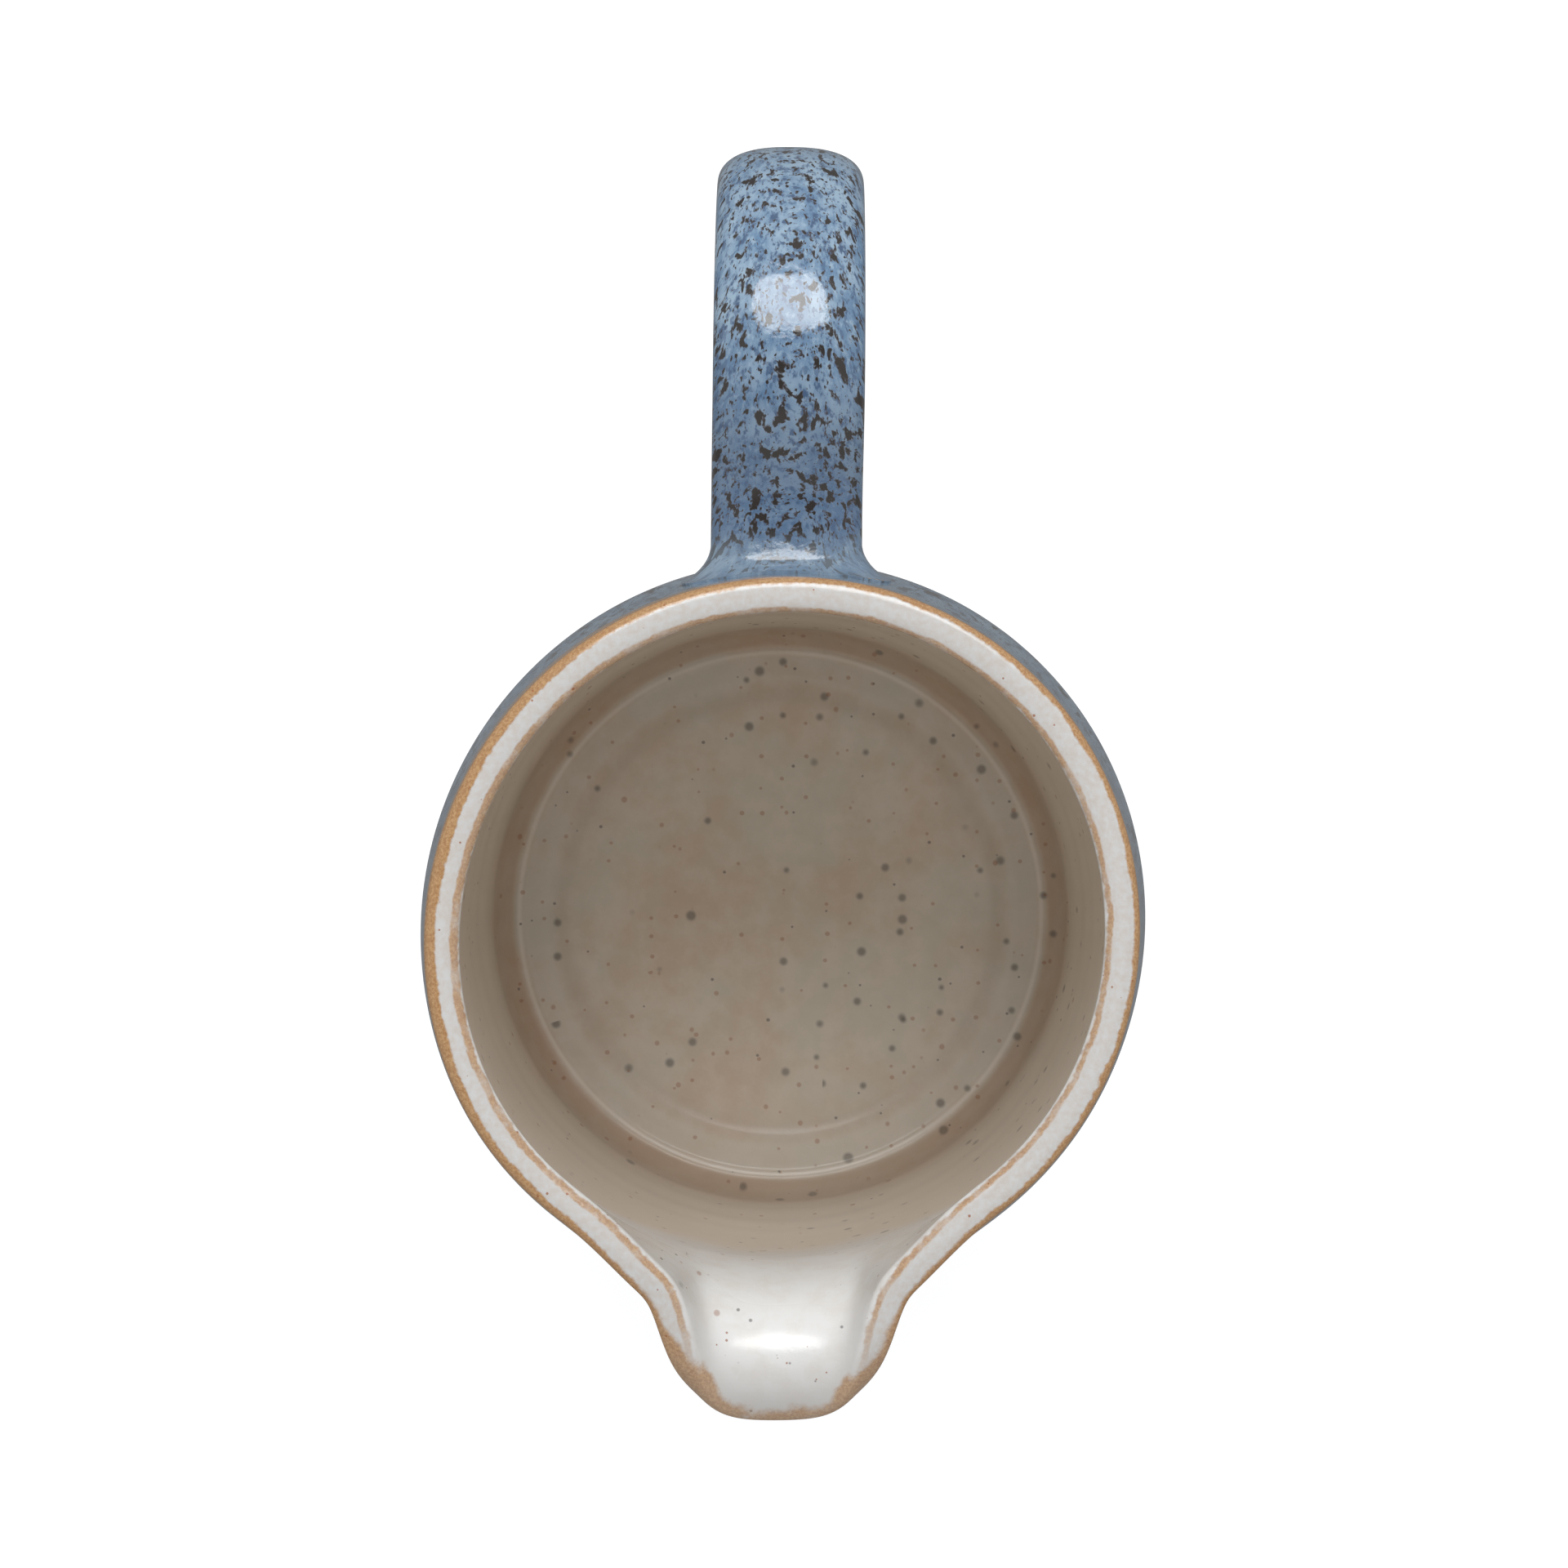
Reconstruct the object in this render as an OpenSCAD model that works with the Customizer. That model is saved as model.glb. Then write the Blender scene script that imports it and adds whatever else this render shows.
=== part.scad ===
// Stoneware pitcher: a barrel body with a pulled spout, a strap handle and two glazes.
// Frame: millimetres, +Z up. The origin is on the body's axis, in the plane the foot stands on.
// The spout points to -Y and the handle to +Y. The plane X = 0 is a mirror plane.

/* [Body] */
// Height of the rim above the table
body_h = 145; // [118:1:175]
// Outside diameter at the belly, where the body is widest
belly_d = 113.4; // [94:0.2:137]
// Height of the belly above the table
belly_z = 80; // [60:1:98]
// Outside diameter at the rim
rim_d = 106.8; // [88:0.2:129]
// Thickness of the finished wall, with a coat of glaze on each side
wall_t = 5.3; // [4.4:0.1:6.4]
// Height of the rounded rim above the straight part of the wall
crown_h = 1.8; // [1.4:0.1:2.3]
// Thickness of the floor above the foot ring
floor_t = 5; // [4:0.1:6.2]
// Radius of the cove between the floor and the wall
cove_r = 10; // [8:0.5:12]
// Radius of the heel between the wall and the underside
heel_r = 8; // [6.5:0.5:10]

/* [Foot ring] */
// Height of the foot ring below the body
foot_h = 3; // [2:0.1:4]
// Width of the foot ring
foot_w = 6; // [4.5:0.1:7.5]
// Distance from the inner end of the heel to the foot ring
foot_inset = 0.5; // [0.3:0.1:2]
// Radius of the foot ring's two lower edges
foot_edge_r = 1.2; // [0.8:0.1:1.6]

/* [Spout] */
// Angle from the middle of the spout to where the body is round again
spout_side = 46; // [38:1:56]
// Angle from the middle of the spout to where its narrow lip has died away
lip_side = 29; // [24:1:35]
// Share of the spout that is its wide flare, under and beside the lip
flare = 0.23; // [0.19:0.01:0.28]
// How far the spout's wall leans out past the rim's wall
spout_reach = 19.6; // [16:0.2:24]
// Depth below the rim at which the spout starts
spout_depth = 34; // [28:1:41]
// How far the end of the spout's wall lies below the rim's wall
lip_drop = 7.4; // [6:0.1:9]
// Angle that the spout's wall turns through, from upright to over the lip
lip_turn = 115; // [95:1:125]

/* [Handle] */
// Width of the handle's strap
strap_w = 22.2; // [18:0.2:27]
// Thickness of the handle's strap
strap_t = 11.2; // [9.2:0.1:13.4]
// Distance from the belly to the outer side of the handle
handle_reach = 63.6; // [52:0.1:77]
// Height of the handle's highest point above its upper joint
handle_rise = 7; // [0:0.5:9]
// Radius of the middle of the strap where the handle turns down
turn_r = 28; // [22:0.5:34]
// Depth of the middle of the upper joint below the rim
upper_joint_depth = 15; // [14:0.5:20]
// Height of the middle of the lower joint above the table
lower_joint_z = 50; // [40:1:60]
// Radius of the slip fillets round both joints
joint_r = 4.8; // [4:0.1:5.8]

/* [Glaze] */
// Thickness of each coat of glaze
glaze_t = 0.5; // [0.3:0.05:0.7]
// Angle round the rim's crown, from its outer side, that stays bare clay
bare_rim = 50; // [20:5:70]
// Angle up the heel, from the underside, at which the outer glaze starts
glaze_foot = 45; // [30:5:70]

/* [Hidden] */
belly_r = belly_d / 2;
rim_r = rim_d / 2;
floor_z = foot_h + floor_t;
half_wall = wall_t / 2;
half_clay = half_wall - glaze_t;
// Height at which the wall ends and the rim's crown starts
wall_top = body_h - crown_h;
spout_z = body_h - spout_depth;
heel_top = foot_h + heel_r;
cove_top = floor_z + cove_r;
barrel_k = (belly_r - rim_r) / pow(body_h - belly_z, 2);
heel_centre = outer_r(heel_top) - heel_r;
cove_centre = outer_r(cove_top) - wall_t - cove_r;
foot_r = heel_centre - foot_inset;
upper_joint_z = body_h - upper_joint_depth;
turn_y = belly_r + handle_reach - strap_t / 2 - turn_r;
handle_top = upper_joint_z + handle_rise;
// How far the strap runs straight out from each joint
joint_run = joint_r + 3;

// Steps up the spout's wall, round its crown and across it
rows = 16;
crown_steps = 9;
columns = 52;
// Points round the strap, and steps along each stretch of it
strap_points = 28;
bend_steps = 12;
fillet_steps = 5;
$fn = 96;

stoneware = "#b08a62";
liner_cream = "#ddd6c8";
outer_blue = "#6f8fb3";

// ---- Curves -------------------------------------------------------------------------------

// Outside radius of the glazed barrel at height z
function outer_r(z) = belly_r - barrel_k * pow(z - belly_z, 2);

// Outside radius of the barrel's clay, on which the handle is joined
function clay_r(z) = outer_r(z) - glaze_t;

// A cosine or sine whose ellipse is squared off, to round a flat top's edges
function squared(c, power) = sign(c) * pow(abs(c), power);

// A smooth hump over -1 to 1 that is 1 in the middle
function hump(x, flat, steep) = pow(1 - pow(min(abs(x), 1), flat), steep);

// How much of the spout there is at an angle from its middle: 1 in the middle, 0 at its sides
function pull(angle) =
    (1 - flare) * hump(angle / lip_side, 3.35, 8.5) + flare * hump(angle / spout_side, 2, 2);

// How far the wall has turned over where it ends
function turn_at(angle) = max(1, lip_turn * pow(pull(angle), 1.15));

// Middle of the wall, at an angle from the spout's middle; u runs from 0 where the spout
// starts to 1 at the crown
function middle_z(angle, u) =
    spout_z + (wall_top - lip_drop * pow(pull(angle), 4.4) - spout_z)
    * sin(turn_at(angle) * u) / sin(turn_at(angle));
function middle_r(angle, u) =
    outer_r(middle_z(angle, u)) - half_wall
    + spout_reach * pull(angle) * (1 - cos(turn_at(angle) * u)) / (1 - cos(turn_at(angle)));
function middle(angle, u) = [
    middle_r(angle, u) * sin(angle), -middle_r(angle, u) * cos(angle), middle_z(angle, u)
];

function unit(v) = v / norm(v);
function round_wall(angle, u) = unit(middle(angle + 0.1, u) - middle(angle - 0.1, u));
function up_wall(angle, u) = unit(middle(angle, u + 0.002) - middle(angle, u - 0.002));
function out_of_wall(angle, u) = unit(cross(round_wall(angle, u), up_wall(angle, u)));

// A point on a face of the wall, at a distance outwards from its middle
function wall_point(angle, u, out) = middle(angle, u) + out * out_of_wall(angle, u);

// A point on the crown, which rises square to the wall's edge; turn runs from 0 on the
// outside to 180 on the inside
function crown_point(angle, turn, half, rise) = let (out = out_of_wall(angle, 1))
    middle(angle, 1) + half * squared(cos(turn), 0.6) * out
    + rise * squared(sin(turn), 0.6) * cross(out, round_wall(angle, 1));

function wall_up(angle, out) = [for (i = [0:rows]) wall_point(angle, i / rows, out)];
function crown(angle, from, half, rise) = [
    for (i = [1:crown_steps - 1]) crown_point(angle, from + (180 - from) * i / crown_steps, half, rise)
];
function reversed(list) = [for (i = [len(list) - 1:-1:0]) list[i]];

// Sections of the upper wall's clay and glazes. Each runs along one face and back along the
// other, so that point i faces point n - 1 - i.
function clay_section(angle) = concat(
    wall_up(angle, half_clay), crown(angle, 0, half_clay, crown_h - glaze_t),
    reversed(wall_up(angle, -half_clay))
);
function liner_face(angle, half, rise) = concat(
    wall_up(angle, -half), [crown_point(angle, 179.9, half, rise)],
    reversed(crown(angle, bare_rim, half, rise)), [crown_point(angle, bare_rim, half, rise)]
);
function liner_section(angle) = concat(
    liner_face(angle, half_wall, crown_h), reversed(liner_face(angle, half_clay, crown_h - glaze_t))
);
function outer_section(angle) = concat(
    wall_up(angle, half_wall), reversed(wall_up(angle, half_clay))
);

// ---- Solids from sections -----------------------------------------------------------------

// Two triangles between point i of row j and the points after it in both directions
function quad(j, i, next_j, next_i, n) = [
    [j * n + i, next_j * n + i, next_j * n + next_i], [j * n + i, next_j * n + next_i, j * n + next_i]
];

// The spout's side-to-side strip through a list of sections, closed at both ends
module strip(sections) {
    n = len(sections[0]);
    last = len(sections) - 1;
    sides = [for (j = [0:last - 1], i = [0:n - 1]) each quad(j, i, j + 1, (i + 1) % n, n)];
    ends = [
        for (i = [0:n / 2 - 2]) each [
            [i, i + 1, n - 1 - i], [i + 1, n - 2 - i, n - 1 - i],
            [last * n + i, last * n + n - 1 - i, last * n + i + 1],
            [last * n + i + 1, last * n + n - 1 - i, last * n + n - 2 - i]
        ]
    ];
    polyhedron(points = [for (s = sections) each s], faces = concat(sides, ends));
}

// A ring-shaped solid through a closed list of loops
module loops_closed(loops) {
    n = len(loops[0]);
    m = len(loops);
    polyhedron(
        points = [for (l = loops) each l],
        faces = [for (j = [0:m - 1], i = [0:n - 1]) each quad(j, i, (j + 1) % m, (i + 1) % n, n)]
    );
}

// A tube-shaped solid through a list of loops, closed by shrinking each end to a point
module loops_capped(loops, first, last) {
    n = len(loops[0]);
    m = len(loops);
    polyhedron(
        points = concat([for (l = loops) each l], [first, last]),
        faces = concat(
            [for (j = [0:m - 2], i = [0:n - 1]) each quad(j, i, j + 1, (i + 1) % n, n)],
            [for (i = [0:n - 1]) [n * m, i, (i + 1) % n]],
            [for (i = [0:n - 1]) [n * m + 1, n * (m - 1) + (i + 1) % n, n * (m - 1) + i]]
        )
    );
}

// Angles of the spout's sections, closer together at the lip
spout_angles = [for (i = [0:columns]) let (x = 2 * i / columns - 1) spout_side * x * (0.6 + 0.4 * abs(x))];

// ---- Body ---------------------------------------------------------------------------------

// A section of the upper wall, turned into radius and height where the body is round
function flattened(section) = [for (p = section) [norm([p.x, p.y]), p.z]];

// One face of the wall below the spout, from a height up to just under the spout's start
function barrel_face(from, out) = [
    for (i = [0:rows - 1]) let (
        z = from + (spout_z - from) * i / rows, slope = -2 * barrel_k * (z - belly_z)
    ) [outer_r(z) - half_wall, z] + out * unit([1, -slope])
];
function heel_face(from, inset) = [
    for (i = [0:8]) let (turn = from + (90 - from) * i / 8)
        [heel_centre + (heel_r - inset) * sin(turn), heel_top - heel_r * cos(turn)]
];
// The cove, from the wall down to the floor
function cove_face(inset) = [
    for (i = [0:8]) let (turn = 90 * i / 8)
        [cove_centre + (cove_r + inset) * cos(turn), cove_top - (cove_r + inset) * sin(turn)]
];
function inside_face(half) = concat(
    reversed(barrel_face(cove_top + 1, -half)), cove_face(half_wall - half), [[0, floor_z - half_wall + half]]
);

// The gap that the spout fills, cut square to the wall at the height where the spout starts
module spout_gap() {
    edge = flattened([wall_point(spout_side, 0, -half_wall), wall_point(spout_side, 0, half_wall)]);
    across = edge[1] - edge[0];
    rotate([0, 0, -90 - spout_side])
        rotate_extrude(angle = 2 * spout_side)
            polygon([
                edge[0] - across, edge[1] + across, [(edge[1] + across).x, body_h + crown_h],
                [(edge[0] - across).x, body_h + crown_h]
            ]);
}

module body() {
    color(stoneware)
        difference() {
            rotate_extrude()
                polygon(concat(
                    [[0, foot_h]], heel_face(0, glaze_t), barrel_face(heel_top + 1, half_clay),
                    flattened(clay_section(spout_side)), inside_face(half_clay)
                ));
            spout_gap();
        }
}

module foot_ring() {
    inner_r = foot_r - foot_w;
    color(stoneware)
        rotate_extrude()
            polygon(concat(
                [[foot_r, foot_h], [inner_r, foot_h]],
                [for (turn = [180:15:270]) [inner_r + foot_edge_r, foot_edge_r] + foot_edge_r * [cos(turn), sin(turn)]],
                [for (turn = [270:15:360]) [foot_r - foot_edge_r, foot_edge_r] + foot_edge_r * [cos(turn), sin(turn)]]
            ));
}

module liner_glaze() {
    color(liner_cream)
        difference() {
            rotate_extrude()
                polygon(concat(
                    reversed(inside_face(half_wall)), flattened(liner_section(spout_side)),
                    inside_face(half_clay)
                ));
            spout_gap();
        }
}

module outer_glaze() {
    color(outer_blue)
        difference() {
            rotate_extrude()
                polygon(concat(
                    heel_face(glaze_foot, 0), barrel_face(heel_top + 1, half_wall),
                    flattened(outer_section(spout_side)),
                    reversed(barrel_face(heel_top + 1, half_clay)), reversed(heel_face(glaze_foot, glaze_t))
                ));
            spout_gap();
            joint_window(upper_joint_z);
            joint_window(lower_joint_z);
        }
}

// The opening in the outer glaze where a handle joint meets the clay
module joint_window(z) {
    translate([0, belly_r + joint_r, z])
        rotate([90, 0, 0])
            linear_extrude(belly_r)
                polygon(strap_outline(joint_r));
}

// ---- Spout --------------------------------------------------------------------------------

module spout() {
    color(stoneware) strip([for (angle = spout_angles) clay_section(angle)]);
}

module spout_liner_glaze() {
    color(liner_cream) strip([for (angle = spout_angles) liner_section(angle)]);
}

module spout_outer_glaze() {
    color(outer_blue) strip([for (angle = spout_angles) outer_section(angle)]);
}

// ---- Handle -------------------------------------------------------------------------------

// The strap's section, grown by an amount all round: X is across, Y is towards its outer side
function strap_outline(grow) = [
    for (i = [0:strap_points - 1]) let (turn = 360 * i / strap_points) [
        (strap_w / 2 - glaze_t + grow) * squared(cos(turn), 0.8),
        (strap_t / 2 - glaze_t + grow) * squared(sin(turn), 0.8)
    ]
];

function bezier(a, b, c, d, t) =
    pow(1 - t, 3) * a + 3 * pow(1 - t, 2) * t * b + 3 * (1 - t) * t * t * c + pow(t, 3) * d;

// Middle of the strap as [Y, Z], from the upper joint over the top and down to the lower one
upper_start = [clay_r(upper_joint_z) + joint_run, upper_joint_z];
lower_end = [clay_r(lower_joint_z) + joint_run, lower_joint_z];
top_point = [turn_y, handle_top];
outer_point = [turn_y + turn_r, handle_top - turn_r];
rise_pull = (turn_y - upper_start.x) * 0.45;
fall = outer_point.y - lower_joint_z;
strap_path = concat(
    [
        for (i = [0:bend_steps - 1])
            bezier(upper_start, upper_start + [rise_pull, 0], top_point - [rise_pull, 0], top_point,
                i / bend_steps)
    ],
    [
        for (i = [0:bend_steps - 1]) let (turn = 90 * i / bend_steps)
            [turn_y, handle_top - turn_r] + turn_r * [sin(turn), cos(turn)]
    ],
    [
        for (i = [0:bend_steps])
            bezier(outer_point, outer_point - [0, 0.55 * fall], lower_end + [0.55 * fall, 0], lower_end,
                i / bend_steps)
    ]
);

// One loop round the strap at a point of its path, grown by an amount
function strap_loop(i, grow) = let (
    before = strap_path[max(i - 1, 0)],
    after = strap_path[min(i + 1, len(strap_path) - 1)],
    ahead = i == 0 ? [1, 0] : i == len(strap_path) - 1 ? [-1, 0] : unit(after - before)
) [
    for (p = strap_outline(grow))
        [p.x, strap_path[i].x - ahead.y * p.y, strap_path[i].y + ahead.x * p.y]
];
function strap_loops(grow) = [for (i = [0:len(strap_path) - 1]) strap_loop(i, grow)];

// A loop round a joint: away is its distance from the clay of the body, up is 1 or -1 for
// the upper or the lower joint, and share shrinks the loop towards the joint's middle
function joint_loop(z, up, away, grow, share = 1) = [
    for (p = strap_outline(grow) * share) let (height = z + up * p.y)
        [p.x, sqrt(pow(clay_r(height), 2) - p.x * p.x) + away, height]
];
function joint_middle(z) = [0, clay_r(z), z];

// Loops from the strap down the fillet to the body, leaving a coat of the given thickness
function fillet_loops(z, up, coat) = [
    for (i = [0:fillet_steps]) let (turn = 90 * i / fillet_steps)
        joint_loop(z, up, joint_r - (joint_r - coat) * sin(turn), joint_r - (joint_r - coat) * cos(turn))
];

module handle() {
    color(stoneware)
        loops_capped(
            concat(
                [for (share = [0.35, 0.7, 1]) joint_loop(upper_joint_z, 1, 0, 0, share)],
                [joint_loop(upper_joint_z, 1, joint_r, 0)],
                strap_loops(0),
                [joint_loop(lower_joint_z, -1, joint_r, 0)],
                [for (share = [1, 0.7, 0.35]) joint_loop(lower_joint_z, -1, 0, 0, share)]
            ),
            joint_middle(upper_joint_z), joint_middle(lower_joint_z)
        );
}

module upper_handle_joint() {
    color(stoneware)
        loops_closed(concat(
            reversed(fillet_loops(upper_joint_z, 1, 0)), [joint_loop(upper_joint_z, 1, 0, 0)]
        ));
}

module lower_handle_joint() {
    color(stoneware)
        loops_closed(concat(
            fillet_loops(lower_joint_z, -1, 0), [joint_loop(lower_joint_z, -1, 0, 0)]
        ));
}

// One face of the handle's coat, from the body round the handle and back to the body
function handle_face(coat) = concat(
    reversed(fillet_loops(upper_joint_z, 1, coat)), strap_loops(coat),
    fillet_loops(lower_joint_z, -1, coat)
);

module handle_glaze() {
    color(outer_blue) loops_closed(concat(handle_face(glaze_t), reversed(handle_face(0))));
}

body();
foot_ring();
spout();
handle();
upper_handle_joint();
lower_handle_joint();
liner_glaze();
spout_liner_glaze();
outer_glaze();
spout_outer_glaze();
handle_glaze();
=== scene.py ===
"""Looks of a round stoneware pitcher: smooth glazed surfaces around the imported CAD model.

Shapes are worked out in millimetres, in the frame of the CAD model: origin on the pitcher's axis
at the foot's resting plane, +Z up, the spout towards -Y and the handle towards +Y. The driving
sizes are read from the frame, and each CAD node is replaced by one smooth piece of its name.
"""

import math

import bpy
import numpy as np
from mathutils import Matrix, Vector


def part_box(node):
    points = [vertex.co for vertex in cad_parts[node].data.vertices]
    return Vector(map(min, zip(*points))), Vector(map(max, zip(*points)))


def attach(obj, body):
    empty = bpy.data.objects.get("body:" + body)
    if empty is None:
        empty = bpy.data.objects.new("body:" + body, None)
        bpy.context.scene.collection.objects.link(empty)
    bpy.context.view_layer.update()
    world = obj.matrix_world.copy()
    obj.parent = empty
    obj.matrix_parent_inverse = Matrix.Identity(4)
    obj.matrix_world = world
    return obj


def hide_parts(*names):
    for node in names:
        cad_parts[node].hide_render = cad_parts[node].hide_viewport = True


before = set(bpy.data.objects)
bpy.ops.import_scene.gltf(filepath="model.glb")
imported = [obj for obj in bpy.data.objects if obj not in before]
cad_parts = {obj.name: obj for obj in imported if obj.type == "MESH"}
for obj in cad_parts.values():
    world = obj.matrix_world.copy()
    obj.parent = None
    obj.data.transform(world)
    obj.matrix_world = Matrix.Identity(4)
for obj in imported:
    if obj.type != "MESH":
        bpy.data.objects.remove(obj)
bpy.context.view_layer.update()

MM = 0.001


def box_mm(node):
    """Lowest and highest corners of a CAD node, in millimetres."""
    low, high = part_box(node)
    return np.array(low) / MM, np.array(high) / MM


# ---- Sizes read from the frame --------------------------------------------------------------

GLAZE_T = 0.5

OUTER_HIGH = box_mm("outer_glaze")[1]
LINER_LOW, LINER_HIGH = box_mm("liner_glaze")
FOOT_HIGH = box_mm("foot_ring")[1]
STRAP_HIGH = box_mm("handle_glaze")[1]
UPPER_LOW, UPPER_HIGH = box_mm("upper_handle_joint")
LOWER_LOW, LOWER_HIGH = box_mm("lower_handle_joint")

BELLY_R = OUTER_HIGH[0]
BODY_H = LINER_HIGH[2]
FLOOR_Z = LINER_LOW[2] + GLAZE_T
FOOT_R = FOOT_HIGH[0]
FOOT_H = FOOT_HIGH[2]
HANDLE_END = STRAP_HIGH[1]
UPPER_Z = (UPPER_LOW[2] + UPPER_HIGH[2]) / 2
LOWER_Z = (LOWER_LOW[2] + LOWER_HIGH[2]) / 2

# ---- Sizes of the design that the boxes don't show ------------------------------------------

BELLY_Z = 80
RIM_R = BELLY_R - 3.3
WALL_T = 5.3
CROWN_H = 1.8
CROWN_ROUND = 0.78
HEEL_R = 8
FOOT_W = 6
FOOT_EDGE_R = 1.2
SPOUT_Z = BODY_H - 34
SPOUT_SIDE = 46
SPOUT_REACH = 19.6
LIP_DROP = 7.4
LIP_TURN = 115
STRAP_T = 11.2
TURN_R = 28
HANDLE_RISE = 7
JOINT_R = 4.8

HALF_WALL = WALL_T / 2
WALL_TOP = BODY_H - CROWN_H
HEEL_TOP = FOOT_H + HEEL_R
BARREL_K = (BELLY_R - RIM_R) / (BODY_H - BELLY_Z) ** 2
HEEL_CENTRE = FOOT_R + 0.5

# ---- What the hand and the kiln did to the shape --------------------------------------------

# The body is a little oval, a little full under the rim, and not quite centred on the line
# from spout to handle
OVAL = 0.65
OVAL_TOWARDS = 52
FULL = 0.25
BELLY_SHIFT = (0.45, 0.3)
RIM_SHIFT = (0.3, -0.75)
RIM_DIP = 0.35
# The lip was pulled a little narrower and longer than drawn, with a broad throat behind it, and
# a finger left a groove along its middle
LIP_SIDE = 23.7
LIP_SQUARE = 4.4
LIP_STEEP = 9.5
FLARE = 0.47
FLARE_SIDE = 40
FLARE_STEEP = 2.9
LIP_EXTRA = 0.6
GROOVE_D = 1.1
GROOVE_SIDE = 6
# The strap is a little narrower than drawn and leans to one side at its outer end, and the slip
# was wiped thinner over and under it than at its sides
STRAP_W = 21.8
LEAN = 0.55
JOINT_TOP_R = 2.7
# The steep cove at the foot of the inside wall, and the ridge the fingers left on the floor
COVE_W = 4.4
COVE_H = 11
RIDGE_R = 44.6
RIDGE_H = 0.4
RIDGE_W = 0.6
STEP_H = 0.45


def outer_r(z):
    """Outside radius of the glazed barrel at height z."""
    return BELLY_R - BARREL_K * (z - BELLY_Z) ** 2


def smoothstep(low, high, x):
    """0 below low, 1 above high and a smooth rise between them."""
    t = np.clip((x - low) / (high - low), 0, 1)
    return t * t * (3 - 2 * t)


def bell(x, middle, width):
    return np.exp(-((x - middle) / width) ** 2)


def unit(v):
    return v / np.linalg.norm(v, axis=-1, keepdims=True)


def slopes(points):
    """Directions along the first axis of a grid whose steps are uneven."""
    steps = np.diff(points, axis=0)
    length = np.maximum(np.linalg.norm(steps, axis=-1, keepdims=True), 1e-9)
    unit_steps = steps / length
    inner = unit_steps[:-1] * length[1:] + unit_steps[1:] * length[:-1]
    return unit(np.concatenate([unit_steps[:1], inner, unit_steps[-1:]]))


def grid_normals(points):
    """Normals of a grid of points that closes on itself along its second axis."""
    wrapped = np.concatenate([points[:, -1:], points, points[:, :1]], axis=1)
    around = np.swapaxes(slopes(np.swapaxes(wrapped, 0, 1)), 0, 1)[:, 1:-1]
    return unit(np.cross(around, slopes(points)))


def squared(c, power):
    """A sine or cosine that makes a circle into a rounder or squarer oval."""
    return np.sign(c) * np.abs(c) ** power


def bend(points):
    """The hand-made unevenness of the body, added to points near its wall."""
    x, y, z = points[..., 0], points[..., 1], points[..., 2]
    radius = np.maximum(np.hypot(x, y), 1e-6)
    facing = np.arctan2(y, x)
    height = np.clip(z / BODY_H, 0, 1.1)
    near = 1 - smoothstep(BELLY_R + 4, BELLY_R + 26, y)
    risen = smoothstep(0.2, 0.75, height)
    at_rim = smoothstep(0.8, 1, height)
    oval = (0.2 + 0.8 * risen) * OVAL * np.cos(2 * (facing - math.radians(OVAL_TOWARDS)))
    full = FULL * bell(height, 0.82, 0.25)
    shift_x = BELLY_SHIFT[0] * risen * (1 - at_rim) + RIM_SHIFT[0] * at_rim
    beside_spout = smoothstep(25, 70, np.abs((np.degrees(facing) + 270) % 360 - 180))
    shift_y = (BELLY_SHIFT[1] * risen * (1 - at_rim) + RIM_SHIFT[1] * at_rim) * beside_spout
    out = (oval + full) * smoothstep(0, 20, radius)
    lift = RIM_DIP * at_rim * np.cos(3 * facing + 0.6)
    moved = points.copy()
    moved[..., 0] += near * (out * x / radius + shift_x) + LEAN * (1 - near)
    moved[..., 1] += near * (out * y / radius + shift_y)
    moved[..., 2] += near * lift
    return moved


# ---- The upper wall and the spout -----------------------------------------------------------

def hump(x, flat, steep):
    """1 in the middle and 0 beyond x = 1 on both sides."""
    return (1 - np.minimum(np.abs(x), 1) ** flat) ** steep


def pull(angle):
    """How much of the spout there is at an angle from its middle."""
    lip = hump(angle / LIP_SIDE, LIP_SQUARE, LIP_STEEP)
    return (1 - FLARE) * lip + FLARE * hump(angle / FLARE_SIDE, 2, FLARE_STEEP)


def groove(angle, u):
    """Depth of the groove that a finger left along the spout's channel."""
    return GROOVE_D * bell(angle, 0, GROOVE_SIDE) * smoothstep(0.4, 0.85, u)


def middle(angle, u):
    """Middle of the upper wall; u runs from 0 where the spout starts to 1 at the crown."""
    p = pull(angle)
    turn = np.radians(np.maximum(1, LIP_TURN * p ** 1.15))
    rise = WALL_TOP - LIP_DROP * p ** 4.4 - SPOUT_Z
    z = SPOUT_Z + rise * np.sin(turn * u) / np.sin(turn)
    reach = (SPOUT_REACH + LIP_EXTRA) * p
    r = outer_r(z) - HALF_WALL + reach * (1 - np.cos(turn * u)) / (1 - np.cos(turn))
    a = np.radians(angle)
    return np.stack([r * np.sin(a), -r * np.cos(a), z + 0 * angle], axis=-1)


def wall_axes(angle, u):
    """Directions round the wall and out of it."""
    around = unit(middle(angle + 0.1, u) - middle(angle - 0.1, u))
    upwards = unit(middle(angle, u + 0.002) - middle(angle, u - 0.002))
    return around, unit(np.cross(around, upwards))


def wall_point(angle, u, out):
    """A point at a distance out of the middle of the upper wall."""
    return middle(angle, u) + np.reshape(out, (-1, 1)) * wall_axes(angle, u)[1]


def crown_point(angle, turn):
    """A point on the rim's crown; turn runs from 0 on the outside to pi on the inside."""
    around, out = wall_axes(angle, np.ones_like(angle))
    inner_share = (1 - np.cos(turn)) / 2
    across = HALF_WALL * squared(np.cos(turn), CROWN_ROUND) + inner_share * groove(angle, 1)
    across = across[:, None]
    rise = CROWN_H * squared(np.sin(turn), CROWN_ROUND)
    return middle(angle, np.ones_like(angle)) + across * out + rise * np.cross(out, around)


# ---- Profile of the whole body, from under the floor round the rim to the floor's middle ----

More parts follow.
